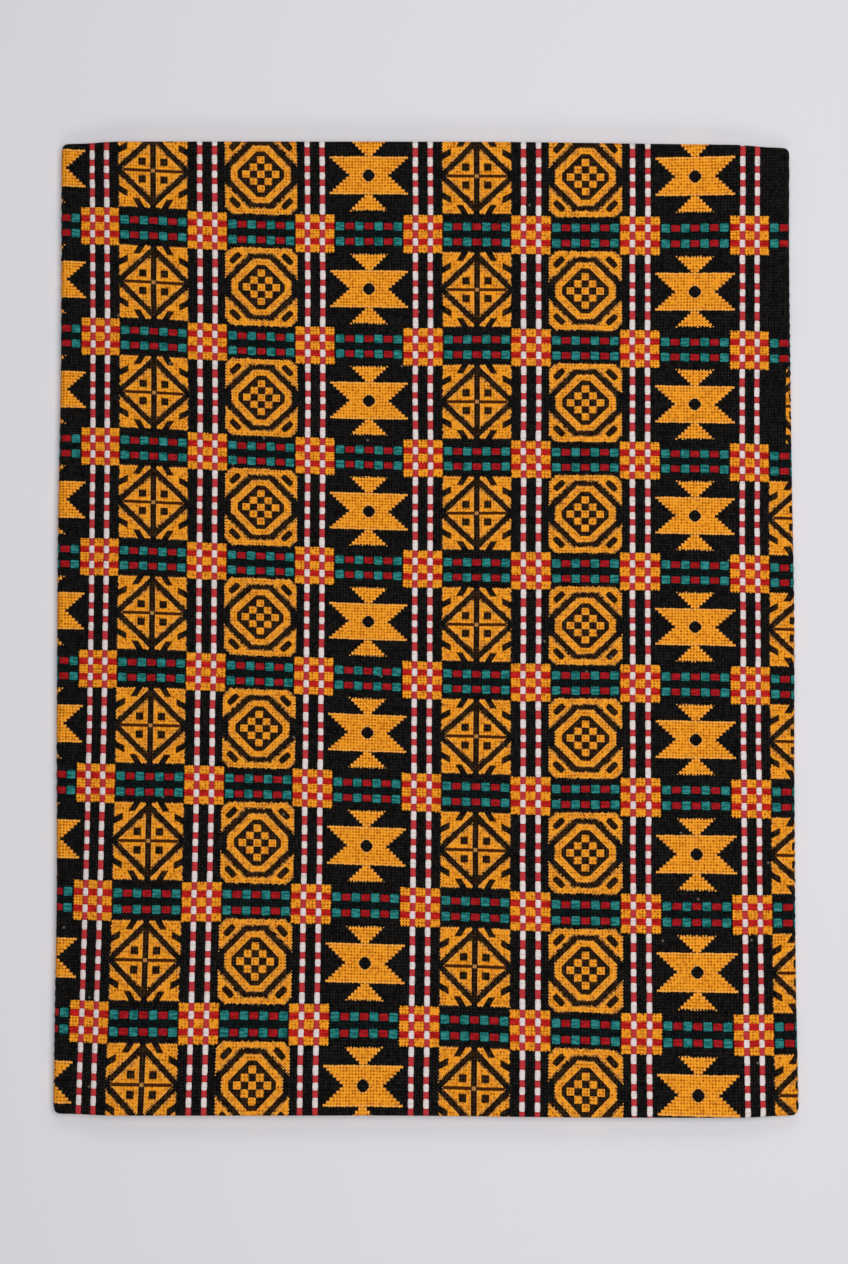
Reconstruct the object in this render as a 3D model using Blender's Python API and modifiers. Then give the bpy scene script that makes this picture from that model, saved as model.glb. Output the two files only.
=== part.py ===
"""A basotho blanket, folded into a flat oblong and lying with its show side up.

The cloth is one thick woven sheet of 1.65 by 1.55 m. Its two long edges are folded under until they meet
in the middle, which makes a strip of two layers. That strip is folded in three like a letter, so that
six layers lie on each other and all four sides of the oblong are folds.

+X runs across the folded blanket to the right, +Y runs up its length, +Z is up. The underside lies on z = 0.
"""

import math

import bmesh
import bpy

# The cloth, in metres
CLOTH_LONG = 1.65
CLOTH_SHORT = 1.55
CLOTH_THICK = 0.0022
LAYER_GAP = 0.0006

# The folded blanket
FOLDED_WIDE = 0.589
SLIT_WIDE = 0.004
SIDE_LAP = 0.004
DROP_RUN = 0.042

# How far the outline is from a true oblong
BASE_WIDER = 0.0041
LEAN = -0.0005
TOP_RIGHT_DROP = 0.0028
TOP_DROP_START = 0.024
BASE_RIGHT_DROP = 0.0017
BASE_DROP_START = -0.05
BASE_DROP_END = 0.15
SIDE_WAVE = 0.00065
WAVE_TURNS = 1.7
WAVE_START = 0.37
CORNER_PULL = 0.0008
CORNER_REACH = 0.008
TOP_SWELL = 0.0006
UNDER_INSET = 0.0016
STACK_WAVE = 0.0006

# What follows from those sizes
GATE_PITCH = CLOTH_THICK + LAYER_GAP
STRIP_THICK = GATE_PITCH + CLOTH_THICK
LETTER_PITCH = STRIP_THICK + LAYER_GAP
TOTAL_THICK = STRIP_THICK + 2 * LETTER_PITCH
PANEL_LONG = (CLOTH_SHORT + SLIT_WIDE - math.pi * GATE_PITCH) / 2
FOLDED_LONG = PANEL_LONG + STRIP_THICK
FLAP_LONG = (PANEL_LONG - SLIT_WIDE) / 2

# Cells of the mesh along each stretch
FLAT_CELLS = 5
PANEL_CELLS = 8
EDGE_CELLS = 2
BEND_CELLS = 2
TURN_CELLS = 8

COLLECTION = "basotho_blanket"
CLOTH_COLOUR = (0.30, 0.13, 0.03, 1.0)
CLOTH_ROUGHNESS = 0.95


def clear_scene():
    """Remove every object that the file opens with."""
    for thing in list(bpy.data.objects):
        bpy.data.objects.remove(thing, do_unlink=True)


def smoothstep(value, start, end):
    """0 before start, 1 after end, and an even ease between them."""
    share = min(max((value - start) / (end - start), 0.0), 1.0)
    return share * share * (3 - 2 * share)


def straight(length, cells):
    """A stretch of a fold line that doesn't turn."""
    return {"length": length, "turn": 0.0, "cells": cells}


def bend(radius, degrees, cells):
    """A stretch of a fold line that turns by an arc, left for a positive angle."""
    turn = math.radians(degrees)
    return {"length": radius * abs(turn), "turn": turn, "cells": cells}


def walk(x, z, heading, stretches):
    """Follow the stretches from (x, z) and return the points (x, z, heading) where the mesh has lines."""
    points = [(x, z, heading)]
    for stretch in stretches:
        step = stretch["length"] / stretch["cells"]
        turn = stretch["turn"] / stretch["cells"]
        chord = step if turn == 0 else 2 * step / turn * math.sin(turn / 2)
        for _ in range(stretch["cells"]):
            x += chord * math.cos(heading + turn / 2)
            z += chord * math.sin(heading + turn / 2)
            heading += turn
            points.append((x, z, heading))
    return points


def gate_section():
    """The first fold: (y, height) along the short way of the cloth, with both flaps under the panel."""
    flap = straight(FLAP_LONG - CORNER_REACH, FLAT_CELLS)
    edge = straight(CORNER_REACH, EDGE_CELLS)
    fold = bend(GATE_PITCH / 2, -180, TURN_CELLS)
    panel = straight(PANEL_LONG - 2 * CORNER_REACH, PANEL_CELLS)
    stretches = [flap, edge, fold, edge, panel, edge, fold, edge, flap]
    return [(y, height) for y, height, _ in walk(-SLIT_WIDE / 2, -GATE_PITCH / 2, math.pi, stretches)]


def letter_section():
    """The second fold: (x, z, heading) of the strip's middle, from the free end of the lowest layer.

    The lowest layer runs right, turns up into the top layer, which runs left, and that turns down into the
    middle layer, which ends short of the right side. Past the ends of the hidden layers, near each side,
    the layers above come down by one pitch in an S of two bends.
    """
    fold = LETTER_PITCH / 2
    slope = 2 * math.atan(LETTER_PITCH / DROP_RUN)
    both_bends = LETTER_PITCH / (1 - math.cos(slope))
    wide_bend = (both_bends + LETTER_PITCH) / 2
    close_bend = (both_bends - LETTER_PITCH) / 2
    reach = FOLDED_WIDE - STRIP_THICK
    shoulder = fold + SIDE_LAP + DROP_RUN
    curved = 2 * math.pi * fold + 3 * both_bends * slope + 3 * SIDE_LAP
    top = reach - 2 * shoulder
    lowest_and_middle = CLOTH_LONG - curved - top
    lowest = (lowest_and_middle + shoulder - fold) / 2
    middle = lowest_and_middle - lowest
    degrees = math.degrees(slope)
    stretches = [
        straight(lowest, FLAT_CELLS + 1),
        bend(fold, 180, TURN_CELLS),
        straight(SIDE_LAP, 1),
        bend(close_bend, -degrees, BEND_CELLS),
        bend(wide_bend, degrees, BEND_CELLS),
        straight(top, PANEL_CELLS),
        bend(wide_bend, degrees, BEND_CELLS),
        bend(close_bend, -degrees, BEND_CELLS),
        straight(SIDE_LAP, 1),
        bend(fold, 180, TURN_CELLS),
        straight(SIDE_LAP, 1),
        bend(wide_bend, degrees, BEND_CELLS),
        bend(close_bend, -degrees, BEND_CELLS),
        straight(middle, FLAT_CELLS),
    ]
    return walk(reach / 2 - fold - lowest, STRIP_THICK / 2, 0.0, stretches)


def uneven(x, y, z):
    """Move a point of the true oblong to where the real one has it: wider at its base, lower at its right,
    leaning a little, wavy at its sides, with its corners rounded and its lower layers tucked in a little at
    both ends."""
    up = y / FOLDED_LONG + 0.5
    depth = 1 - z / TOTAL_THICK
    side = math.copysign(1.0, x)
    from_side = FOLDED_WIDE / 2 - abs(x)
    from_end = FOLDED_LONG / 2 - abs(y)
    corner = smoothstep(CORNER_REACH - from_side, 0, CORNER_REACH)
    corner *= smoothstep(CORNER_REACH - from_end, 0, CORNER_REACH) * CORNER_PULL
    wave = SIDE_WAVE * math.sin(2 * math.pi * (WAVE_TURNS * up + WAVE_START))
    wider = BASE_WIDER * (0.5 - up) * x / FOLDED_WIDE
    drop = TOP_RIGHT_DROP * up * smoothstep(x, TOP_DROP_START, FOLDED_WIDE / 2)
    drop += BASE_RIGHT_DROP * (1 - up) * smoothstep(x, BASE_DROP_START, BASE_DROP_END)
    tuck = depth * (UNDER_INSET + STACK_WAVE * math.sin(14.0 * x + 5.0 * depth)) * 2 * y / FOLDED_LONG
    swell = TOP_SWELL * (0.5 + 0.5 * math.sin(9.0 * x + 1.1) * math.sin(7.0 * y + 0.6))
    return (
        x + wider + wave * 2 * x / FOLDED_WIDE + LEAN * y - side * corner,
        y - drop - tuck - math.copysign(corner, y),
        z + swell * smoothstep(z, STRIP_THICK, TOTAL_THICK),
    )


def folded_places(letter, gate):
    """Where each crossing of the mesh lies in the folded blanket, one row for each line of the letter fold."""
    places = []
    for x, z, heading in letter:
        out_x = math.sin(heading)
        out_z = -math.cos(heading)
        for y, height in gate:
            places.append(uneven(x + height * out_x, y, z + height * out_z))
    return centred(places)


def centred(places):
    """The same places, moved so that their box is centred over the origin."""
    middle_x = (min(x for x, _, _ in places) + max(x for x, _, _ in places)) / 2
    middle_y = (min(y for _, y, _ in places) + max(y for _, y, _ in places)) / 2
    return [(x - middle_x, y - middle_y, z) for x, y, z in places]


def sheet_mesh(name, letter, gate):
    """A flat grid with a line for each point of the two sections, folded by moving its points."""
    mesh = bpy.data.meshes.new(name)
    sheet = bmesh.new()
    bmesh.ops.create_grid(sheet, x_segments=len(letter) - 1, y_segments=len(gate) - 1, size=0.5)
    sheet.verts.ensure_lookup_table()
    across = len(letter) - 1
    along = len(gate) - 1
    places = folded_places(letter, gate)
    for vert in sheet.verts:
        column = round((vert.co.x + 0.5) * across)
        row = round((vert.co.y + 0.5) * along)
        vert.co = places[column * len(gate) + row]
    for face in sheet.faces:
        face.smooth = True
    sheet.to_mesh(mesh)
    sheet.free()
    return mesh


def cloth_material():
    """Thick wool, given the mean of its gold, black, red and teal yarns."""
    material = bpy.data.materials.new("woven_wool")
    material.use_nodes = True
    shader = material.node_tree.nodes["Principled BSDF"]
    shader.inputs["Base Color"].default_value = CLOTH_COLOUR
    shader.inputs["Roughness"].default_value = CLOTH_ROUGHNESS
    shader.inputs["Metallic"].default_value = 0.0
    return material


def add_blanket(collection):
    """The whole blanket, one sheet of cloth."""
    mesh = sheet_mesh("blanket", letter_section(), gate_section())
    mesh.materials.append(cloth_material())
    blanket = bpy.data.objects.new("blanket", mesh)
    collection.objects.link(blanket)
    thickness = blanket.modifiers.new("cloth thickness", "SOLIDIFY")
    thickness.thickness = CLOTH_THICK
    thickness.offset = 0.0
    thickness.use_even_offset = True
    return blanket


def main():
    clear_scene()
    collection = bpy.data.collections.new(COLLECTION)
    bpy.context.scene.collection.children.link(collection)
    add_blanket(collection)


main()
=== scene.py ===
import math
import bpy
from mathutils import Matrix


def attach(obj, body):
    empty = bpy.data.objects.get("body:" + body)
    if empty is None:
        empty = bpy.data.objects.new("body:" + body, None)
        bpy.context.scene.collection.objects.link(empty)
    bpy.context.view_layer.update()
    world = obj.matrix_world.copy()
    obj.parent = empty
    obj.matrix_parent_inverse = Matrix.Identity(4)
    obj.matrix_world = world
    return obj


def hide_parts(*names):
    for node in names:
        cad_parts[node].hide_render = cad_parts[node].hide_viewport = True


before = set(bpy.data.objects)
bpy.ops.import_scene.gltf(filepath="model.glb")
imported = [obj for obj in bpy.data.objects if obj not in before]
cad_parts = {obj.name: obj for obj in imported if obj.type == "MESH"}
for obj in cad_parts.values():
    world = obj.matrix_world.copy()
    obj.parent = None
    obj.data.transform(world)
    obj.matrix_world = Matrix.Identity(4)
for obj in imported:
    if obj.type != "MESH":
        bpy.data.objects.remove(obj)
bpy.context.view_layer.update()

from types import SimpleNamespace

import bpy
import numpy as np

# A basotho blanket, folded into a flat oblong and lying show side up on a pale floor.
# One sheet of cloth is folded by moving the points of a grid. Its woven pattern is worked out from a map
# on the cloth that counts stitches: across from a column of crossings, and down from a row of them.

# The cloth, in metres
CLOTH_LONG = 1.65
CLOTH_SHORT = 1.55
CLOTH_THICK = 0.0022
LAYER_GAP = 0.0006

# The folded blanket
FOLDED_WIDE = 0.589
SLIT_WIDE = 0.004
SIDE_LAP = 0.004
DROP_RUN = 0.042

# How far the outline is from a true oblong
BASE_WIDER = 0.0041
LEAN = -0.0005
TOP_RIGHT_DROP = 0.0028
TOP_DROP_START = 0.024
BASE_RIGHT_DROP = 0.0017
BASE_DROP_START = -0.05
BASE_DROP_END = 0.15
SIDE_WAVE = 0.00065
WAVE_TURNS = 1.7
WAVE_START = 0.37
CORNER_PULL = 0.0008
CORNER_REACH = 0.008
UNDER_INSET = 0.0016

# The slow waves of the layers' ends and of the top. Across and along are in radians to a metre, and deep
# is in radians from the top to the lowest layer.
STACK = SimpleNamespace(high=0.0006, across=14.0, deep=5.0)
SWELL = SimpleNamespace(high=0.0006, across=9.0, across_start=1.1, along=7.0, along_start=0.6)

# The small bulges of the yarn along the side folds, in metres, and how their pitch and height change
SCALLOP_HIGH = 0.0007
SCALLOP_PITCH = 0.0093
PITCH_CHANGE = SimpleNamespace(share=0.12, along=11.0, side=2.0)
HIGH_CHANGE = SimpleNamespace(share=0.4, along=31.0, side=1.3)

# What follows from those sizes
GATE_PITCH = CLOTH_THICK + LAYER_GAP
STRIP_THICK = GATE_PITCH + CLOTH_THICK
LETTER_PITCH = STRIP_THICK + LAYER_GAP
TOTAL_THICK = STRIP_THICK + 2 * LETTER_PITCH
PANEL_LONG = (CLOTH_SHORT + SLIT_WIDE - math.pi * GATE_PITCH) / 2
FOLDED_LONG = PANEL_LONG + STRIP_THICK
FLAP_LONG = (PANEL_LONG - SLIT_WIDE) / 2

# Cells of the grid
FLAP_CELLS = 8
EDGE_CELLS = 3
GATE_TURN_CELLS = 10
PANEL_CELLS = 272
HIDDEN_CELLS = 12
LETTER_TURN_CELLS = 12
LAP_CELLS = 1
BEND_CELLS = 3
TOP_CELLS = 66

# The pattern's repeat, in stitches
REPEAT_ACROSS = 36
REPEAT_DOWN = 38

# Where the repeats lie on the top layer. Both ways are counted in repeats, and the places that they are
# worked out from are given as shares of about half the folded width and length, in metres.
HALF_WIDE = 0.2928
HALF_LONG = 0.3874
EVEN_REACH = 1.1
COLUMN = SimpleNamespace(
    middle=3.033,
    pitch=3.395,
    lean=-0.020,
    fan=0.022,
    bow=0.017,
    curl=-0.044,
    crowd=-0.023,
    spread=-0.020,
)
ROW = SimpleNamespace(
    middle=3.517,
    pitch=-4.377,
    fall=-0.086,
    bow=-0.064,
    sag=0.024,
    crowd=0.124,
    twist=0.015,
    sag_change=0.043,
    bow_change=0.048,
    sway=-0.009,
    sway_across=4.75,
    sway_up=3.0,
)


# Shape of the folded cloth


def straight(length, cells):
    """A stretch of a fold line that doesn't turn."""
    return {"length": length, "turn": 0.0, "cells": cells}


def bend(radius, degrees, cells):
    """A stretch of a fold line that turns by an arc, left for a positive angle."""
    turn = math.radians(degrees)
    return {"length": radius * abs(turn), "turn": turn, "cells": cells}


def followed(x, z, heading, stretches):
    """The line from (x, z) through the stretches, as arrays of x, z, heading, length and turn so far.

    Each cell goes forward by the chord of its arc, in the direction that it has half way through its turn:
    length * sin(turn / 2) / (turn / 2).
    """
    step = np.concatenate([np.full(s["cells"], s["length"] / s["cells"]) for s in stretches])
    turn = np.concatenate([np.full(s["cells"], s["turn"] / s["cells"]) for s in stretches])
    after = heading + np.cumsum(turn)
    chord = step * np.sinc(turn / (2 * np.pi))
    return {
        "x": x + np.append(0.0, np.cumsum(chord * np.cos(after - turn / 2))),
        "z": z + np.append(0.0, np.cumsum(chord * np.sin(after - turn / 2))),
        "heading": np.append(heading, after),
        "length": np.append(0.0, np.cumsum(step)),
        "turned": np.append(0.0, np.cumsum(turn)),
    }


def gate_line():
    """The first fold, across the cloth's short way: flap, fold, panel, fold, flap, with both flaps under."""
    flap = straight(FLAP_LONG - CORNER_REACH, FLAP_CELLS)
    edge = straight(CORNER_REACH, EDGE_CELLS)
    fold = bend(GATE_PITCH / 2, -180, GATE_TURN_CELLS)
    panel = straight(PANEL_LONG - 2 * CORNER_REACH, PANEL_CELLS)
    stretches = [flap, edge, fold, edge, panel, edge, fold, edge, flap]
    return followed(-SLIT_WIDE / 2, -GATE_PITCH / 2, math.pi, stretches)


def letter_line():
    """The second fold, along the cloth's long way, and the number of the line at the top layer's middle.

    The lowest layer runs right, turns up into the top layer, which runs left, and that turns down into the
    middle layer. Past the ends of the hidden layers the layers above come down by one pitch, in two bends.
    """
    fold = LETTER_PITCH / 2
    slope = 2 * math.atan(LETTER_PITCH / DROP_RUN)
    both_bends = LETTER_PITCH / (1 - math.cos(slope))
    wide_bend = (both_bends + LETTER_PITCH) / 2
    close_bend = (both_bends - LETTER_PITCH) / 2
    reach = FOLDED_WIDE - STRIP_THICK
    shoulder = fold + SIDE_LAP + DROP_RUN
    curved = 2 * math.pi * fold + 3 * both_bends * slope + 3 * SIDE_LAP
    top = reach - 2 * shoulder
    lowest_and_middle = CLOTH_LONG - curved - top
    lowest = (lowest_and_middle + shoulder - fold) / 2
    middle = lowest_and_middle - lowest
    degrees = math.degrees(slope)
    lap = straight(SIDE_LAP, LAP_CELLS)
    turn_back = bend(fold, 180, LETTER_TURN_CELLS)
    up_to_top = [
        straight(lowest, HIDDEN_CELLS),
        turn_back,
        lap,
        bend(close_bend, -degrees, BEND_CELLS),
        bend(wide_bend, degrees, BEND_CELLS),
    ]
    after_top = [
        bend(wide_bend, degrees, BEND_CELLS),
        bend(close_bend, -degrees, BEND_CELLS),
        lap,
        turn_back,
        lap,
        bend(wide_bend, degrees, BEND_CELLS),
        bend(close_bend, -degrees, BEND_CELLS),
        straight(middle, HIDDEN_CELLS),
    ]
    stretches = up_to_top + [straight(top, TOP_CELLS)] + after_top
    line = followed(reach / 2 - fold - lowest, STRIP_THICK / 2, 0.0, stretches)
    top_middle = sum(s["cells"] for s in up_to_top) + TOP_CELLS // 2
    return line, top_middle


def smoothstep(value, start, end):
    """0 before start, 1 after end, and an even ease between them."""
    share = np.clip((value - start) / (end - start), 0.0, 1.0)
    return share * share * (3 - 2 * share)


def uneven(x, y, z):
    """Each point of the true oblong, moved to where the real one has it.

    It is wider at its base by a straight taper, lower at its right by a smooth step, leaning by a straight
    shift and wavy at its sides by a sine. Its corners are rounded, its lower layers are tucked in at both
    ends by a share of their depth, and its top swells by a product of two sines.
    """
    up = y / FOLDED_LONG + 0.5
    depth = 1 - z / TOTAL_THICK
    side = np.copysign(1.0, x)
    from_side = FOLDED_WIDE / 2 - abs(x)
    from_end = FOLDED_LONG / 2 - abs(y)
    corner = smoothstep(CORNER_REACH - from_side, 0, CORNER_REACH)
    corner = corner * smoothstep(CORNER_REACH - from_end, 0, CORNER_REACH) * CORNER_PULL
    wave = SIDE_WAVE * np.sin(2 * np.pi * (WAVE_TURNS * up + WAVE_START))
    wider = BASE_WIDER * (0.5 - up) * x / FOLDED_WIDE
    drop = TOP_RIGHT_DROP * up * smoothstep(x, TOP_DROP_START, FOLDED_WIDE / 2)
    drop = drop + BASE_RIGHT_DROP * (1 - up) * smoothstep(x, BASE_DROP_START, BASE_DROP_END)
    tuck = UNDER_INSET + STACK.high * np.sin(STACK.across * x + STACK.deep * depth)
    tuck = depth * tuck * 2 * y / FOLDED_LONG
    swell = np.sin(SWELL.across * x + SWELL.across_start) * np.sin(SWELL.along * y + SWELL.along_start)
    swell = SWELL.high * (0.5 + 0.5 * swell)
    new_x = x + wider + wave * 2 * x / FOLDED_WIDE + LEAN * y - side * corner
    new_y = y - drop - tuck - np.copysign(corner, y)
    new_z = z + swell * smoothstep(z, STRIP_THICK, TOTAL_THICK)
    new_x = new_x - (new_x.min() + new_x.max()) / 2
    new_y = new_y - (new_y.min() + new_y.max()) / 2
    return new_x, new_y, new_z


def scallops(y, heading, outer):
    """How far the side folds bulge outwards, in x: a raised cosine down each side, on the outermost cloth.

    Sines along the side change the cosine's pitch and height, so that no bulge is like the next.
    """
    side = np.sign(np.sin(heading))
    pitch_wave = np.sin(PITCH_CHANGE.along * y + PITCH_CHANGE.side * side)
    pitch = SCALLOP_PITCH * (1 + PITCH_CHANGE.share * pitch_wave)
    high_wave = np.sin(HIGH_CHANGE.along * y + HIGH_CHANGE.side * side)
    high = SCALLOP_HIGH * (1 - HIGH_CHANGE.share + HIGH_CHANGE.share * high_wave)
    bulge = 0.5 - 0.5 * np.cos(2 * np.pi * y / pitch)
    return high * bulge * outer * np.sin(heading)


def repeats(across, up):
    """Columns and rows of the repeat at a place on the cloth, given from the top layer's middle in metres.

    Each is a straight scale plus the slow leans, bows and fans of a cloth that lies a little unevenly. Those
    slow parts stop growing just past the edges of the top layer.
    """
    a = across / HALF_WIDE
    b = up / HALF_LONG
    near_a = np.clip(a, -EVEN_REACH, EVEN_REACH)
    near_b = np.clip(b, -EVEN_REACH, EVEN_REACH)
    column = (
        COLUMN.middle
        + COLUMN.pitch * a
        + COLUMN.lean * near_b
        + COLUMN.fan * near_a * near_b
        + COLUMN.bow * near_b**2
        + COLUMN.curl * near_a * near_b**2
        + COLUMN.crowd * near_a**2
        + COLUMN.spread * near_a**3
    )
    row = (
        ROW.middle
        + ROW.pitch * b
        + ROW.fall * near_a
        + ROW.bow * near_b**2
        + ROW.sag * near_a**2
        + ROW.crowd * near_b**3
        + ROW.twist * near_a * near_b
        + ROW.sag_change * near_a**2 * near_b
        + ROW.bow_change * near_a * near_b**2
        + ROW.sway * np.cos(ROW.sway_across * near_a + ROW.sway_up * near_b)
    )
    return column, row


def folded_cloth():
    """Points, faces and stitch map of the folded sheet.

    A crossing of a letter line (x, z, heading) and a gate line (y, height) lies at
    (x + height * sin(heading), y, z - height * cos(heading)), moved by uneven. Its place in the stitch map
    is its place on the flat cloth, moved as far as uneven moved it, so that the pattern isn't bent with the
    outline.
    """
    letter, top_middle = letter_line()
    gate = gate_line()
    height = gate["z"][None, :]
    heading = letter["heading"][:, None]
    flat_x = letter["x"][:, None] + height * np.sin(heading)
    flat_y = np.broadcast_to(gate["x"][None, :], flat_x.shape)
    flat_z = letter["z"][:, None] - height * np.cos(heading)
    x, y, z = uneven(flat_x, flat_y, flat_z)

    run = letter["length"] + letter["turned"] * GATE_PITCH / 2
    across = (run[top_middle] - run)[:, None] + (x - flat_x)
    up = (gate["length"] - gate["length"][-1] / 2)[None, :] + (y - flat_y)
    column, row = repeats(across, up)
    stitches = np.stack([column * REPEAT_ACROSS, row * REPEAT_DOWN], axis=-1)

    outer = smoothstep(height, 0.0, GATE_PITCH / 2)
    x = x + scallops(y, heading, outer)

    lines, places = flat_x.shape
    first = (np.arange(lines - 1)[:, None] * places + np.arange(places - 1)[None, :]).ravel()
    faces = np.stack([first, first + 1, first + places + 1, first + places], axis=-1)
    points = np.stack([x, y, z], axis=-1).reshape(-1, 3)
    return points, faces, stitches.reshape(-1, 2)


STITCH_MAP = "stitches"


def blanket_cloth(material):
    """The whole blanket: the folded grid, given its thickness to both sides."""
    points, faces, stitches = folded_cloth()
    mesh = bpy.data.meshes.new("blanket_cloth")
    mesh.from_pydata(points.tolist(), [], faces.tolist())
    stitch_map = mesh.uv_layers.new(name=STITCH_MAP)
    stitch_map.uv.foreach_set("vector", stitches[faces.ravel()].ravel().astype(np.float32))
    mesh.polygons.foreach_set("use_smooth", np.ones(len(faces), dtype=bool))
    mesh.materials.append(material)
    mesh.update()
    cloth = bpy.data.objects.new("blanket_cloth", mesh)
    bpy.context.scene.collection.objects.link(cloth)
    thickness = cloth.modifiers.new("cloth thickness", "SOLIDIFY")
    thickness.thickness = CLOTH_THICK
    thickness.offset = 0.0
    thickness.use_even_offset = True
    return cloth


# Arithmetic for materials


class Field:
    """A number that changes over the cloth. Its sums, comparisons and choices become math nodes.

    A comparison gives 1 where it holds and 0 elsewhere, & keeps what both hold, | what either holds, and
    ~ turns it round.
    """

    def __init__(self, tree, socket):
        self.tree = tree
        self.socket = socket

    def worked(self, operation, *others):
        """What one math node makes of this field and the others."""
        node = self.tree.nodes.new("ShaderNodeMath")
        node.operation = operation
        feed(self.tree, node.inputs, (self, *others))
        return Field(self.tree, node.outputs[0])

    def __add__(self, other):
        return self.worked("ADD", other)

    def __sub__(self, other):
        return self.worked("SUBTRACT", other)

    def __mul__(self, other):
        return self.worked("MULTIPLY", other)

    def __truediv__(self, other):
        return self.worked("DIVIDE", other)

    def __lt__(self, other):
        return self.worked("LESS_THAN", other)

    def __gt__(self, other):
        return self.worked("GREATER_THAN", other)

    def __and__(self, other):
        return self.worked("MINIMUM", other)

    def __or__(self, other):
        return self.worked("MAXIMUM", other)

    def __invert__(self):
        return self.worked("MULTIPLY_ADD", -1.0, 1.0)

    def size(self):
        """The field without its sign."""
        return self.worked("ABSOLUTE")

    def whole(self):
        """The whole number below."""
        return self.worked("FLOOR")

    def nearest(self):
        """The nearest whole number."""
        return (self + 0.5).whole()

    def over(self, other):
        """What is left over after whole steps of other, from 0 up."""
        return self.worked("FLOORED_MODULO", other)

    def cosine(self):
        return self.worked("COSINE")

    def power(self, other):
        return self.worked("POWER", other)

    def least(self, other):
        """The smaller of the two."""
        return self.worked("MINIMUM", other)

    def between(self, low, high):
        return (self > low) & (self < high)


def feed(tree, places, values):
    """Joins each field to its socket, and gives a plain value to its socket as it is."""
    for place, value in zip(places, values):
        if isinstance(value, Field):
            tree.links.new(value.socket, place)
        else:
            place.default_value = value


def new_group(name, inputs, outputs):
    """A node group with the named numbers in and out: the group, its result node, its inputs as fields."""
    group = bpy.data.node_groups.new(name, "ShaderNodeTree")
    for direction, names in (("INPUT", inputs), ("OUTPUT", outputs)):
        for socket_name in names:
            group.interface.new_socket(socket_name, in_out=direction, socket_type="NodeSocketFloat")
    given = group.nodes.new("NodeGroupInput")
    result = group.nodes.new("NodeGroupOutput")
    return group, result, [Field(group, socket) for socket in given.outputs if socket.name]


def finished(group, result, *values):
    """The group with the values joined to its outputs, in their order."""
    feed(group, result.inputs, values)
    return group


def placed(tree, group, *values):
    """The group as a node of the tree, fed with the values. Gives its outputs as fields."""
    node = tree.nodes.new("ShaderNodeGroup")
    node.node_tree = group
    feed(tree, node.inputs, values)
    outputs = [Field(tree, socket) for socket in node.outputs]
    return outputs[0] if len(outputs) == 1 else outputs


def coloured(tree, share, first, second):
    """first where share is 0, second where it is 1, and a mix between. Colours are fields or tuples.

    The node has inputs and outputs for each kind of value: 6 and 7 take its two colours, and 2 gives the mix.
    """
    node = tree.nodes.new("ShaderNodeMix")
    node.data_type = "RGBA"
    places = (node.inputs["Factor"], node.inputs[6], node.inputs[7])
    colours = [value if isinstance(value, Field) else (*value, 1.0) for value in (first, second)]
    feed(tree, places, (share, *colours))
    return Field(tree, node.outputs[2])


def plain_material(name, finish):
    """A material with its shader's finish, given by the names of its sockets. Gives the shader too."""
    material = bpy.data.materials.new(name)
    material.use_nodes = True
    shader = material.node_tree.nodes["Principled BSDF"]
    for socket_name, value in finish.items():
        shader.inputs[socket_name].default_value = value
    return material, shader


# The woven motifs. Each takes the place from its own middle, how far the stitch there reaches past an edge,
# and how far inside the motif's edge to stay, all in stitches, and gives 1 where gold yarn is. A motif is the
# same on all four sides of its middle, so its sizes are halves: wide across, high down, and a slant for
# the sum of both. A slope is how much wider or higher a slanting side gets with each stitch.

STAR = SimpleNamespace(
    hole=2.0,
    hole_slant=2.6,
    body_high=6.4,
    waist=6.55,
    side_slope=1.07,
    cone_from=6.0,
    cone_to=11.85,
    cone_slope=1.02,
    cone_start=5.75,
)
DIAMOND = SimpleNamespace(
    wide=11.5,
    high=12.65,
    inner_wide=10.1,
    inner_slope=0.93,
    inner_slant=9.9,
    outer_slope=0.95,
    outer_slant=12.45,
    outer_reach=1.5,
    upright=0.97,
    spot_across=(2.4, 4.9),
    spot_down=(1.75, 4.25),
    crossbar_wide=10.0,
    crossbar_high=0.5,
    knot_wide=0.65,
    knot_high=0.6,
)
TOP_TICK = SimpleNamespace(start=9.6, lean=0.6, middle=11.45, half=1.13)
SIDE_TICK = SimpleNamespace(start=8.5, lean=0.53, middle=12.55, half=1.12)
OCTAGON = SimpleNamespace(
    wide=12.15,
    high=13.4,
    slant=23.2,
    line_high=11.15,
    line_slant=15.0,
    line_reach=2.0,
    ring_wide=10.1,
    ring_high=9.7,
    ring_slant=12.4,
    core_wide=7.8,
    core_high=7.55,
    core_slant=8.95,
)
CORNER_DASH = SimpleNamespace(slant=18.35, half_wide=1.5, shift=0.95, half_long=3.1, squareness=4.0)
CHECK = SimpleNamespace(wide=2.46, high=2.38, farthest=2.5, slant=0.98, reach=0.5)


def motif_group(name, *more):
    """A motif's group and result node, the sizes of its two places, and its reach and inset."""
    inputs = ("Across", "Down", "Reach", "Inset")
    group, result, (across, down, reach, inset) = new_group(name, inputs, ("Gold", *more))
    return group, result, across.size(), down.size(), reach - inset, inset


def star_motif():
    """A waisted oblong whose sides are cut in to a point, a cone on its top and foot, a black middle.

    The slanting edges go in steps of one row of stitches.
    """
    group, result, across, down, reach, inset = motif_group("star_motif")
    row = down.nearest()
    hole = (across - inset < STAR.hole) & (down - inset < STAR.hole)
    hole = hole & (across + down - inset < STAR.hole_slant)
    body = (down - reach < STAR.body_high) & (across + inset - row * STAR.side_slope < STAR.waist) & ~hole
    cones = (down > STAR.cone_from) & (down - reach < STAR.cone_to)
    cones = cones & (across + inset - row * STAR.cone_slope < -STAR.cone_start)
    return finished(group, result, body | cones)


def tick_at(along, beside, tick):
    """A short slanting stroke at a motif's side: a band about the line beside + along * lean = middle."""
    from_line = (beside + along * tick.lean - tick.middle).size()
    return (along > tick.start) & (from_line < tick.half)


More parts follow.
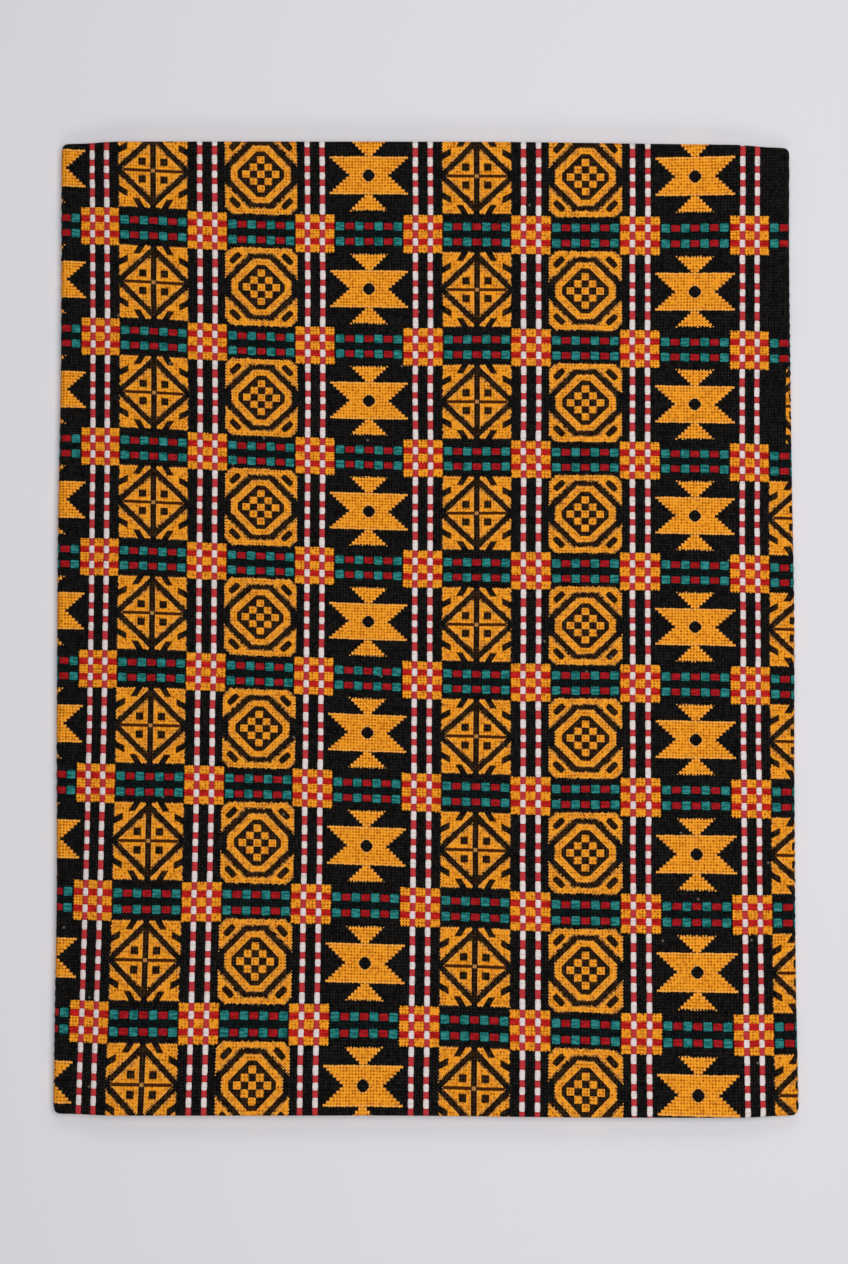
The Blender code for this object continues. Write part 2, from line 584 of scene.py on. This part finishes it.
def diamond_motif():
    """A square with a black diamond line in it, a cross through its middle, four squares and eight ticks.

    Gives as well 1 where the thin thread of the crossbar is, and 1 at its knot.
    """
    group, result, across, down, reach, inset = motif_group("diamond_motif", "Crossbar", "Knot")
    a = across - reach
    b = down - reach
    square = (a < DIAMOND.wide) & (b < DIAMOND.high)
    inside = (a * DIAMOND.inner_slope + b < DIAMOND.inner_slant) & (a < DIAMOND.inner_wide)
    outside = across * DIAMOND.outer_slope + down + reach * DIAMOND.outer_reach > DIAMOND.outer_slant
    upright = across - inset < DIAMOND.upright
    spots = across.between(*DIAMOND.spot_across) & down.between(*DIAMOND.spot_down)
    ticks = tick_at(down, across, TOP_TICK) | tick_at(across, down, SIDE_TICK)
    gold = square & (inside | outside) & ~(upright | spots | ticks)
    crossbar = (down < DIAMOND.crossbar_high) & (across < DIAMOND.crossbar_wide)
    knot = (across < DIAMOND.knot_wide) & (down < DIAMOND.knot_high)
    return finished(group, result, gold, crossbar, knot)


def octagon_motif():
    """A square with cut corners, a black ring of eight sides, a gold ring, and a diamond of nine squares.

    The dash over each corner is where the fourth powers of the places across and along it, in halves of its
    own size, add up to less than 1.
    """
    group, result, across, down, reach, inset = motif_group("octagon_motif")
    a = across - reach
    b = down - reach
    dash_across = ((across + down - CORNER_DASH.slant) / CORNER_DASH.half_wide).size()
    dash_along = ((across - down + CORNER_DASH.shift) / CORNER_DASH.half_long).size()
    dash = dash_across.power(CORNER_DASH.squareness) + dash_along.power(CORNER_DASH.squareness) < 1.0
    past_slant = across + down + reach * OCTAGON.line_reach > OCTAGON.line_slant
    past_line = past_slant | (down + reach > OCTAGON.line_high)
    outer = (a < OCTAGON.wide) & (b < OCTAGON.high) & (a + b < OCTAGON.slant) & past_line & ~dash
    ring = (a < OCTAGON.ring_wide) & (b < OCTAGON.ring_high) & (a + b < OCTAGON.ring_slant)
    core = (across < OCTAGON.core_wide) & (down < OCTAGON.core_high)
    core = core & (across + down - inset < OCTAGON.core_slant)
    check_across = across / CHECK.wide
    check_down = down / CHECK.high
    column = check_across.nearest()
    row = check_down.nearest()
    from_middle = (check_across - column).size() + (check_down - row).size()
    checks = (column + row < CHECK.farthest) & ((column + row).over(2.0) < 0.5)
    checks = checks & (from_middle - reach * CHECK.reach < CHECK.slant)
    return finished(group, result, outer | (ring & ~core) | (core & checks))


# The crossings, and the bars and dashes that join them, in stitches. Bars run down and dashes run across.
# A bar's dashes are given by where they end below a crossing, and the crossing's rows by where they end
# from its middle.

BAR_ENDS = (3.0, 6.0, 9.1, 11.3, 13.6, 15.8, 18.7, 21.7)
BAR_FROM_MIDDLE = 2.5
BAR_HALF = 0.91
NECK_LONG = 0.8
NECK_DEEP = 0.12
ROW_ENDS = (1.4, 3.85, 6.4)
RED_ROW = (1.5, 3.8)
BLOCK_WIDE = 6.6
BLOCK_HIGH = ROW_ENDS[-1]
DASH_PITCH = 3.2
DASH_FARTHEST = 3.5
DASH_FROM_MIDDLE = 2.57
TEAL_DASH = SimpleNamespace(long=1.37, high=1.38, slant=2.5)
RED_DASH = SimpleNamespace(long=1.44, high=1.09, slant=2.25)


def bar_pair():
    """Two upright bars through each column of crossings, each of white and red dashes by turns.

    Takes the place from the nearest crossing's middle and the distance below the last crossing. Gives 1
    where a bar is, 1 where its dash is white, and how far across the bar a place is, from -1 to 1. The bars
    are narrower where two dashes meet.
    """
    inputs = ("Across", "Down", "Below")
    group, result, (across, down, below) = new_group("bar_pair", inputs, ("Bar", "White", "Side"))
    count = below > BAR_ENDS[0]
    from_end = (below - BAR_ENDS[0]).size()
    for end in BAR_ENDS[1:]:
        count = count + (below > end)
        from_end = from_end.least((below - end).size())
    for end in ROW_ENDS:
        from_end = from_end.least((down.size() - end).size())
    half = from_end.least(NECK_LONG) * (NECK_DEEP / NECK_LONG) + (BAR_HALF - NECK_DEEP)
    side = (across.size() - BAR_FROM_MIDDLE) / half
    in_crossing = down.size() < BLOCK_HIGH
    white_in_crossing = down.size().between(ROW_ENDS[0], ROW_ENDS[1])
    white_between = count.over(2.0) < 0.5
    white = (in_crossing & white_in_crossing) | (~in_crossing & white_between)
    return finished(group, result, side.size() < 1.0, white, side)


def dash_at(along, beside, dash):
    """1 in a dash whose corners are cut off at a slant."""
    return (along < dash.long) & (beside < dash.high) & (along + beside < dash.slant)


def dash_rows():
    """Two rows of teal and red dashes between the crossings, seven dashes to a row.

    Takes the place down from the nearest crossing's middle and across from the middle between two crossings.
    Gives 1 where a teal dash is, and 1 where a red one is.
    """
    group, result, (across, down) = new_group("dash_rows", ("Across", "Down"), ("Teal", "Red"))
    count = (across / DASH_PITCH).nearest()
    along = (across - count * DASH_PITCH).size()
    beside = (down.size() - DASH_FROM_MIDDLE).size()
    odd = count.over(2.0) > 0.5
    here = count.size() < DASH_FARTHEST
    teal = here & odd & dash_at(along, beside, TEAL_DASH)
    red = here & ~odd & dash_at(along, beside, RED_DASH)
    return finished(group, result, teal, red)


def crossing_block():
    """The crossings: gold and red rows. Gives 1 in the block, and 1 where its row is red."""
    group, result, places = new_group("crossing_block", ("Across", "Down"), ("Block", "Red Row"))
    across, down = [place.size() for place in places]
    return finished(group, result, (across < BLOCK_WIDE) & (down < BLOCK_HIGH), down.between(*RED_ROW))


# Where things lie in the weave, in stitches: how far the motifs sit above the middles of their places, the
# plain strip at the upper right, the warm ground among a motif's gold and the cool ground by the teal.
MOTIF_RAISE = 0.45
PLAIN_EDGE = SimpleNamespace(start=222.0, end=252.0, second_row_end=228.2)
WARM_GROUND = SimpleNamespace(wide=10.4, high=11.7)
COOL_GROUND = SimpleNamespace(wide=11.4, high=4.4)

# How far a stitch reaches past the edge of its motif, in stitches. A crossing's edges have a share of that
# reach, the rows of dashes wave a little with each stitch, and a painted highlight lies on the beads along a
# motif's edge.
EDGE = SimpleNamespace(bead=0.6, chance=0.3, star_inset=0.15, inset=0.18)
CROSSING_REACH = 0.6
DASH_WAVE = 0.1
EDGE_HIGHLIGHT_WIDE = 0.55

# Smooth changes over the stitch map, longer across or down where those are under 1. The wander moves the
# whole weave, and the others lighten the yarns.
WANDER_FAR = 0.2
NOISE_DETAIL = 2.0
NOISES = {
    "wander": {"scale": 0.045, "across": 1.0, "down": 1.0},
    "fibre": {"scale": 0.9, "across": 1.0, "down": 0.8},
    "streak": {"scale": 1.0, "across": 0.35, "down": 1.5},
    "thread": {"scale": 1.0, "across": 1.6, "down": 0.5},
}

# Yarn colours, as linear red, green and blue. Each yarn has a dark and a light end; for gold, the blacks,
# white and the bars' red, the mix between them paints light and shade on the stitches as well as the yarn's
# own uneven tone.
BLACK = ((0.0009, 0.0008, 0.0008), (0.0150, 0.0135, 0.0125))
WARM_BLACK = ((0.0040, 0.0018, 0.0006), (0.052, 0.026, 0.0110))
COOL_BLACK = ((0.0006, 0.0018, 0.0018), (0.0080, 0.0150, 0.0145))
GOLD = ((0.34, 0.072, 0.001), (0.970, 0.365, 0.022))
RED = ((0.26, 0.005, 0.006), (0.43, 0.012, 0.018))
BLOCK_RED = ((0.33, 0.008, 0.006), (0.60, 0.018, 0.013))
BAR_RED = ((0.31, 0.018, 0.021), (0.53, 0.040, 0.046))
TEAL = ((0.0040, 0.100, 0.090), (0.034, 0.265, 0.250))
WHITE = ((0.45, 0.385, 0.375), (0.815, 0.725, 0.705))
# Painted highlight: the pale gold laid on the beads along a motif's edge
GOLD_EDGE_HIGHLIGHT = (1.0, 0.56, 0.20)
CROSSBAR = (0.055, 0.016, 0.0035)
CROSSBAR_KNOT = (0.44, 0.20, 0.055)
LINT = (0.30, 0.26, 0.20)

# How far each thing takes a yarn from its dark end to its light end, and the level that it starts from. The
# bead terms paint light on the stitches' tops and shade between them, and a bar's side paints shade towards
# its edges;
# chance, fibre, thread and streak are the yarns' own uneven tone.
GOLD_MIX = SimpleNamespace(bead=0.4, square_bead=0.8, chance=0.8, fibre=0.6, star=-0.08, level=-0.04)
BLACK_MIX = SimpleNamespace(thread=0.4, square_bead=1.1, even_bead=0.75, chance=0.8, level=0.31)
STREAK_MIX = 3.4
# side paints shade towards a bar's edges, and streak is the yarn's own streaks
BAR_MIX = SimpleNamespace(side=0.6, streak=1.6)
# How far the painted edge highlight takes the gold beads towards its pale colour
EDGE_HIGHLIGHT_MIX = 0.25
LINT_MIX = 0.4
LINT_OVER = 0.9997

# The relief of the yarns, as shares of the bump's height in metres
RELIEF = SimpleNamespace(bead=0.8, bar=1.2, thread=0.5)
BUMP_HIGH = 0.0005
BUMP_STRENGTH = 0.6
WOOL_FINISH = {
    "Roughness": 0.95,
    "Specular IOR Level": 0.06,
    "Sheen Weight": 0.025,
    "Sheen Roughness": 0.5,
}


def noise_over(tree, stitch_map, row):
    """A smooth noise over the stitch map, with the sizes of one row of the table."""
    stretch = tree.nodes.new("ShaderNodeMapping")
    stretch.inputs["Scale"].default_value = (row["across"], row["down"], 1.0)
    noise = tree.nodes.new("ShaderNodeTexNoise")
    noise.noise_dimensions = "2D"
    noise.inputs["Scale"].default_value = row["scale"]
    noise.inputs["Detail"].default_value = NOISE_DETAIL
    tree.links.new(stitch_map, stretch.inputs["Vector"])
    tree.links.new(stretch.outputs["Vector"], noise.inputs["Vector"])
    return noise


def chance_of(tree, first, second):
    """A number from 0 to 1 that is the same over one stitch."""
    place = tree.nodes.new("ShaderNodeCombineXYZ")
    node = tree.nodes.new("ShaderNodeTexWhiteNoise")
    node.noise_dimensions = "2D"
    feed(tree, place.inputs, (first, second))
    tree.links.new(place.outputs["Vector"], node.inputs["Vector"])
    return Field(tree, node.outputs["Value"])


def wandering_place(tree, stitch_map):
    """Stitches across and down at each place, moved by the weave's slow wander."""
    wander = noise_over(tree, stitch_map, NOISES["wander"])
    shift = tree.nodes.new("ShaderNodeVectorMath")
    shift.operation = "MULTIPLY_ADD"
    shift.inputs[1].default_value = (2 * WANDER_FAR, 2 * WANDER_FAR, 0.0)
    shift.inputs[2].default_value = (-WANDER_FAR, -WANDER_FAR, 0.0)
    moved = tree.nodes.new("ShaderNodeVectorMath")
    moved.operation = "ADD"
    split = tree.nodes.new("ShaderNodeSeparateXYZ")
    tree.links.new(wander.outputs["Color"], shift.inputs[0])
    tree.links.new(stitch_map, moved.inputs[0])
    tree.links.new(shift.outputs["Vector"], moved.inputs[1])
    tree.links.new(moved.outputs["Vector"], split.inputs["Vector"])
    return Field(tree, split.outputs["X"]), Field(tree, split.outputs["Y"])


class Place:
    """Where a place on the cloth lies in the repeat, in stitches. Columns take the three motifs by turns."""

    def __init__(self, across, down):
        column = (across / REPEAT_ACROSS).whole()
        self.row = (down / REPEAT_DOWN).whole()
        self.across = across
        self.raised = down + MOTIF_RAISE
        self.from_middle_across = across - (column + 0.5) * REPEAT_ACROSS
        self.from_middle_down = self.raised - (self.row + 0.5) * REPEAT_DOWN
        self.from_crossing_across = across - (across / REPEAT_ACROSS).nearest() * REPEAT_ACROSS
        self.from_crossing_down = down - (down / REPEAT_DOWN).nearest() * REPEAT_DOWN
        self.below_crossing = down.over(float(REPEAT_DOWN)) - BLOCK_HIGH
        kind = column.over(3.0)
        self.diamonds = kind < 0.5
        self.octagons = kind.between(0.5, 1.5)
        self.stars = kind > 1.5

    def in_middle(self, ground):
        """1 within the ground's width and height about the middle between four crossings."""
        return (self.from_middle_across.size() < ground.wide) & (self.from_middle_down.size() < ground.high)

    def by_dashes(self, ground):
        """1 within the ground's width and height about the middle between two crossings side by side."""
        return (self.from_crossing_down.size() < ground.high) & (self.from_middle_across.size() < ground.wide)

    def plain_edge(self):
        """1 on the plain strip: all of the first row of motifs, and the start of the second."""
        second_row = (self.row < 1.5) & (self.across < PLAIN_EDGE.second_row_end)
        return self.across.between(PLAIN_EDGE.start, PLAIN_EDGE.end) & ((self.row < 0.5) | second_row)


class Stitches:
    """What the yarn is like at a place: all from 0 to 1, but reach, which is in stitches.

    A bead is the raised middle of a stitch: it shapes the relief, and in the colours it paints light on the
    stitch's top and shade between stitches. Beads are set square in the stars, and elsewhere in rows half a
    stitch out of step. Chance is one number to a stitch, and fibre, streak and thread change smoothly.
    """

    def __init__(self, tree, stitch_map, place):
        turn = 2 * math.pi
        self.wave = (place.across * turn).cosine()
        wave_down = (place.raised * turn).cosine()
        high_across = self.wave * 0.5 + 0.5
        high_down = wave_down * 0.5 + 0.5
        self.square_bead = ~(~high_across * ~high_down)
        step_bead = self.wave * wave_down * 0.5 + 0.5
        self.stars = place.stars
        self.bead = self.square_bead * self.stars + step_bead * ~self.stars
        slant = (place.across + place.raised).nearest()
        other_slant = (place.across - place.raised).nearest()
        self.chance = chance_of(tree, slant, other_slant)
        self.fibre = Field(tree, noise_over(tree, stitch_map, NOISES["fibre"]).outputs[0])
        self.streak = Field(tree, noise_over(tree, stitch_map, NOISES["streak"]).outputs[0])
        self.thread = Field(tree, noise_over(tree, stitch_map, NOISES["thread"]).outputs[0])
        reach = (self.bead - 0.5) * EDGE.bead + (self.chance - 0.5) * EDGE.chance
        self.reach = reach - self.stars * EDGE.star_inset - EDGE.inset

    def gold_shade_and_tone(self):
        # The bead terms paint light on each stitch's top and shade between stitches; chance and fibre are the
        # yarn's own uneven tone.
        share = self.bead * GOLD_MIX.bead + self.square_bead * GOLD_MIX.square_bead
        share = share + (self.chance - 0.5) * GOLD_MIX.chance + (self.fibre - 0.5) * GOLD_MIX.fibre
        return share + self.stars * GOLD_MIX.star + GOLD_MIX.level

    def black_shade_and_tone(self):
        # The bead term paints light on each stitch's top and shade between stitches; thread and chance are
        # the yarn's own uneven tone.
        share = (self.thread - 0.5) * BLACK_MIX.thread
        share = share + (self.square_bead - BLACK_MIX.even_bead) * BLACK_MIX.square_bead
        return share + (self.chance - 0.5) * BLACK_MIX.chance + BLACK_MIX.level

    def streak_share(self):
        return (self.streak - 0.5) * STREAK_MIX + 0.5

    def bar_shade_and_streak_share(self, side):
        # Painted shade: darker towards the bar's sides, as on a round yarn; the streaks are the yarn's own
        # tone.
        return ~(side * side * BAR_MIX.side) + (self.streak - 0.5) * BAR_MIX.streak


def motifs_at(tree, place, reach):
    """The three motifs in their own columns: gold, gold well inside the edge, the crossbar and its knot."""
    groups = (diamond_motif(), octagon_motif(), star_motif())
    golds = []
    for inset in (0.0, EDGE_HIGHLIGHT_WIDE):
        values = (place.from_middle_across, place.from_middle_down, reach, inset)
        diamond, crossbar, knot = placed(tree, groups[0], *values)
        octagon = placed(tree, groups[1], *values)
        star = placed(tree, groups[2], *values)
        golds.append((diamond & place.diamonds) | (octagon & place.octagons) | (star & place.stars))
    return (*golds, crossbar & place.diamonds, knot & place.diamonds)


def ground_colour(tree, place, plain_edge, stitches):
    """The black ground: warmer among the gold of a diamond or an octagon, cooler by the teal, with lint."""
    share = stitches.black_shade_and_tone()
    in_gold = place.in_middle(WARM_GROUND) & ~(place.stars | plain_edge)
    lint = (stitches.chance > LINT_OVER) * LINT_MIX
    ground = coloured(tree, in_gold, coloured(tree, share, *BLACK), coloured(tree, share, *WARM_BLACK))
    ground = coloured(tree, place.by_dashes(COOL_GROUND), ground, coloured(tree, share, *COOL_BLACK))
    return coloured(tree, lint, ground, LINT)


def woven_wool():
    """The blanket's wool: gold motifs, crossings, bars and dashes on black, each with its own stitches."""
    material, shader = plain_material("woven_wool", WOOL_FINISH)
    tree = material.node_tree
    source = tree.nodes.new("ShaderNodeUVMap")
    source.uv_map = STITCH_MAP
    stitch_map = source.outputs["UV"]
    place = Place(*wandering_place(tree, stitch_map))
    stitches = Stitches(tree, stitch_map, place)

    gold_motif, inner_gold, crossbar, knot = motifs_at(tree, place, stitches.reach)
    plain_edge = place.plain_edge()
    motif = gold_motif & ~plain_edge
    # Painted highlight: paler gold on the beads, in a band just inside each motif's edge
    tip = (motif & ~inner_gold) * stitches.bead * EDGE_HIGHLIGHT_MIX
    near_across = place.from_crossing_across.size() - stitches.reach * CROSSING_REACH
    near_down = place.from_crossing_down.size() - stitches.reach * CROSSING_REACH
    block, red_row = placed(tree, crossing_block(), near_across, near_down)
    bar_places = (place.from_crossing_across, place.from_crossing_down, place.below_crossing)
    bar, white, side = placed(tree, bar_pair(), *bar_places)
    dash_down = place.from_crossing_down + stitches.wave * DASH_WAVE
    teal, red = placed(tree, dash_rows(), place.from_middle_across, dash_down)

    streak = stitches.streak_share()
    # The bars' colour: painted shade towards their sides, with the yarn's own streaks
    bar_shade_and_streak = stitches.bar_shade_and_streak_share(side)
    gold = coloured(tree, stitches.gold_shade_and_tone(), *GOLD)
    layers = (
        (motif, coloured(tree, tip, gold, GOLD_EDGE_HIGHLIGHT)),
        (motif & crossbar, CROSSBAR),
        (knot, CROSSBAR_KNOT),
        (teal, coloured(tree, streak, *TEAL)),
        (red, coloured(tree, streak, *RED)),
        (block & ~red_row, gold),
        (block & red_row, coloured(tree, streak, *BLOCK_RED)),
        (bar & white, coloured(tree, bar_shade_and_streak, *WHITE)),
        (bar & ~white, coloured(tree, bar_shade_and_streak, *BAR_RED)),
    )
    colour = ground_colour(tree, place, plain_edge, stitches)
    for here, yarn in layers:
        colour = coloured(tree, here, colour, yarn)
    tree.links.new(colour.socket, shader.inputs["Base Color"])

    raised = motif | block | teal | red
    height = raised * stitches.bead * RELIEF.bead + bar * ~(side * side) * RELIEF.bar
    height = height + ~raised * stitches.thread * RELIEF.thread
    bump = tree.nodes.new("ShaderNodeBump")
    bump.inputs["Strength"].default_value = BUMP_STRENGTH
    bump.inputs["Distance"].default_value = BUMP_HIGH
    tree.links.new(height.socket, bump.inputs["Height"])
    tree.links.new(bump.outputs["Normal"], shader.inputs["Normal"])
    return material


# The studio, in metres, watts, millimetres of lens and degrees

FLOOR_HALF = 3.0
FLOOR_LEVEL = -0.0002
FLOOR_FINISH = {
    "Base Color": (0.80, 0.79, 0.83, 1.0),
    "Roughness": 0.9,
    "Specular IOR Level": 0.1,
}
LIGHTS = (
    {"name": "overhead", "at": (0.50, 0.05, 2.0), "wide": 1.1, "long": 1.6, "watts": 26.0},
    {"name": "upper", "at": (0.1, 1.7, 1.5), "wide": 1.4, "long": 0.8, "watts": 9.9},
    {"name": "lower", "at": (0.1, -1.7, 1.5), "wide": 1.4, "long": 0.8, "watts": 9.9},
)
GLOW_STRENGTH = 0.145
CAMERA = SimpleNamespace(lens=60.0, sensor=36.0, at=(-0.0015, -0.0636, 1.6929), tip=2.0)


def pale_floor():
    """A plain matt floor, just under the blanket."""
    material, _ = plain_material("pale_floor", FLOOR_FINISH)
    sides = ((-1, -1), (1, -1), (1, 1), (-1, 1))
    corners = [(FLOOR_HALF * x, FLOOR_HALF * y, FLOOR_LEVEL) for x, y in sides]
    mesh = bpy.data.meshes.new("floor")
    mesh.from_pydata(corners, [], [(0, 1, 2, 3)])
    mesh.materials.append(material)
    floor = bpy.data.objects.new("floor", mesh)
    bpy.context.scene.collection.objects.link(floor)
    return floor


def add_lights():
    """Soft lights over the blanket, each turned towards its middle, and a faint glow all round."""
    for row in LIGHTS:
        light = bpy.data.lights.new(row["name"], "AREA")
        light.shape = "RECTANGLE"
        light.size = row["wide"]
        light.size_y = row["long"]
        light.energy = row["watts"]
        lamp = bpy.data.objects.new(row["name"], light)
        lamp.location = row["at"]
        lamp.rotation_euler = (-lamp.location).to_track_quat("-Z", "Y").to_euler()
        bpy.context.scene.collection.objects.link(lamp)
    world = bpy.data.worlds.new("soft room")
    world.use_nodes = True
    glow = world.node_tree.nodes["Background"]
    glow.inputs["Color"].default_value = (1.0, 1.0, 1.0, 1.0)
    glow.inputs["Strength"].default_value = GLOW_STRENGTH
    bpy.context.scene.world = world


def add_camera():
    """The camera over the blanket, tipped a little towards its top."""
    data = bpy.data.cameras.new("camera")
    data.lens = CAMERA.lens
    data.sensor_width = CAMERA.sensor
    camera = bpy.data.objects.new("camera", data)
    camera.location = CAMERA.at
    camera.rotation_euler = (math.radians(CAMERA.tip), 0.0, 0.0)
    bpy.context.scene.collection.objects.link(camera)
    bpy.context.scene.camera = camera


cloth = blanket_cloth(woven_wool())
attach(cloth, "root")
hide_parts("blanket")
floor = pale_floor()
add_lights()
add_camera()
bpy.context.scene.view_settings.view_transform = "Standard"

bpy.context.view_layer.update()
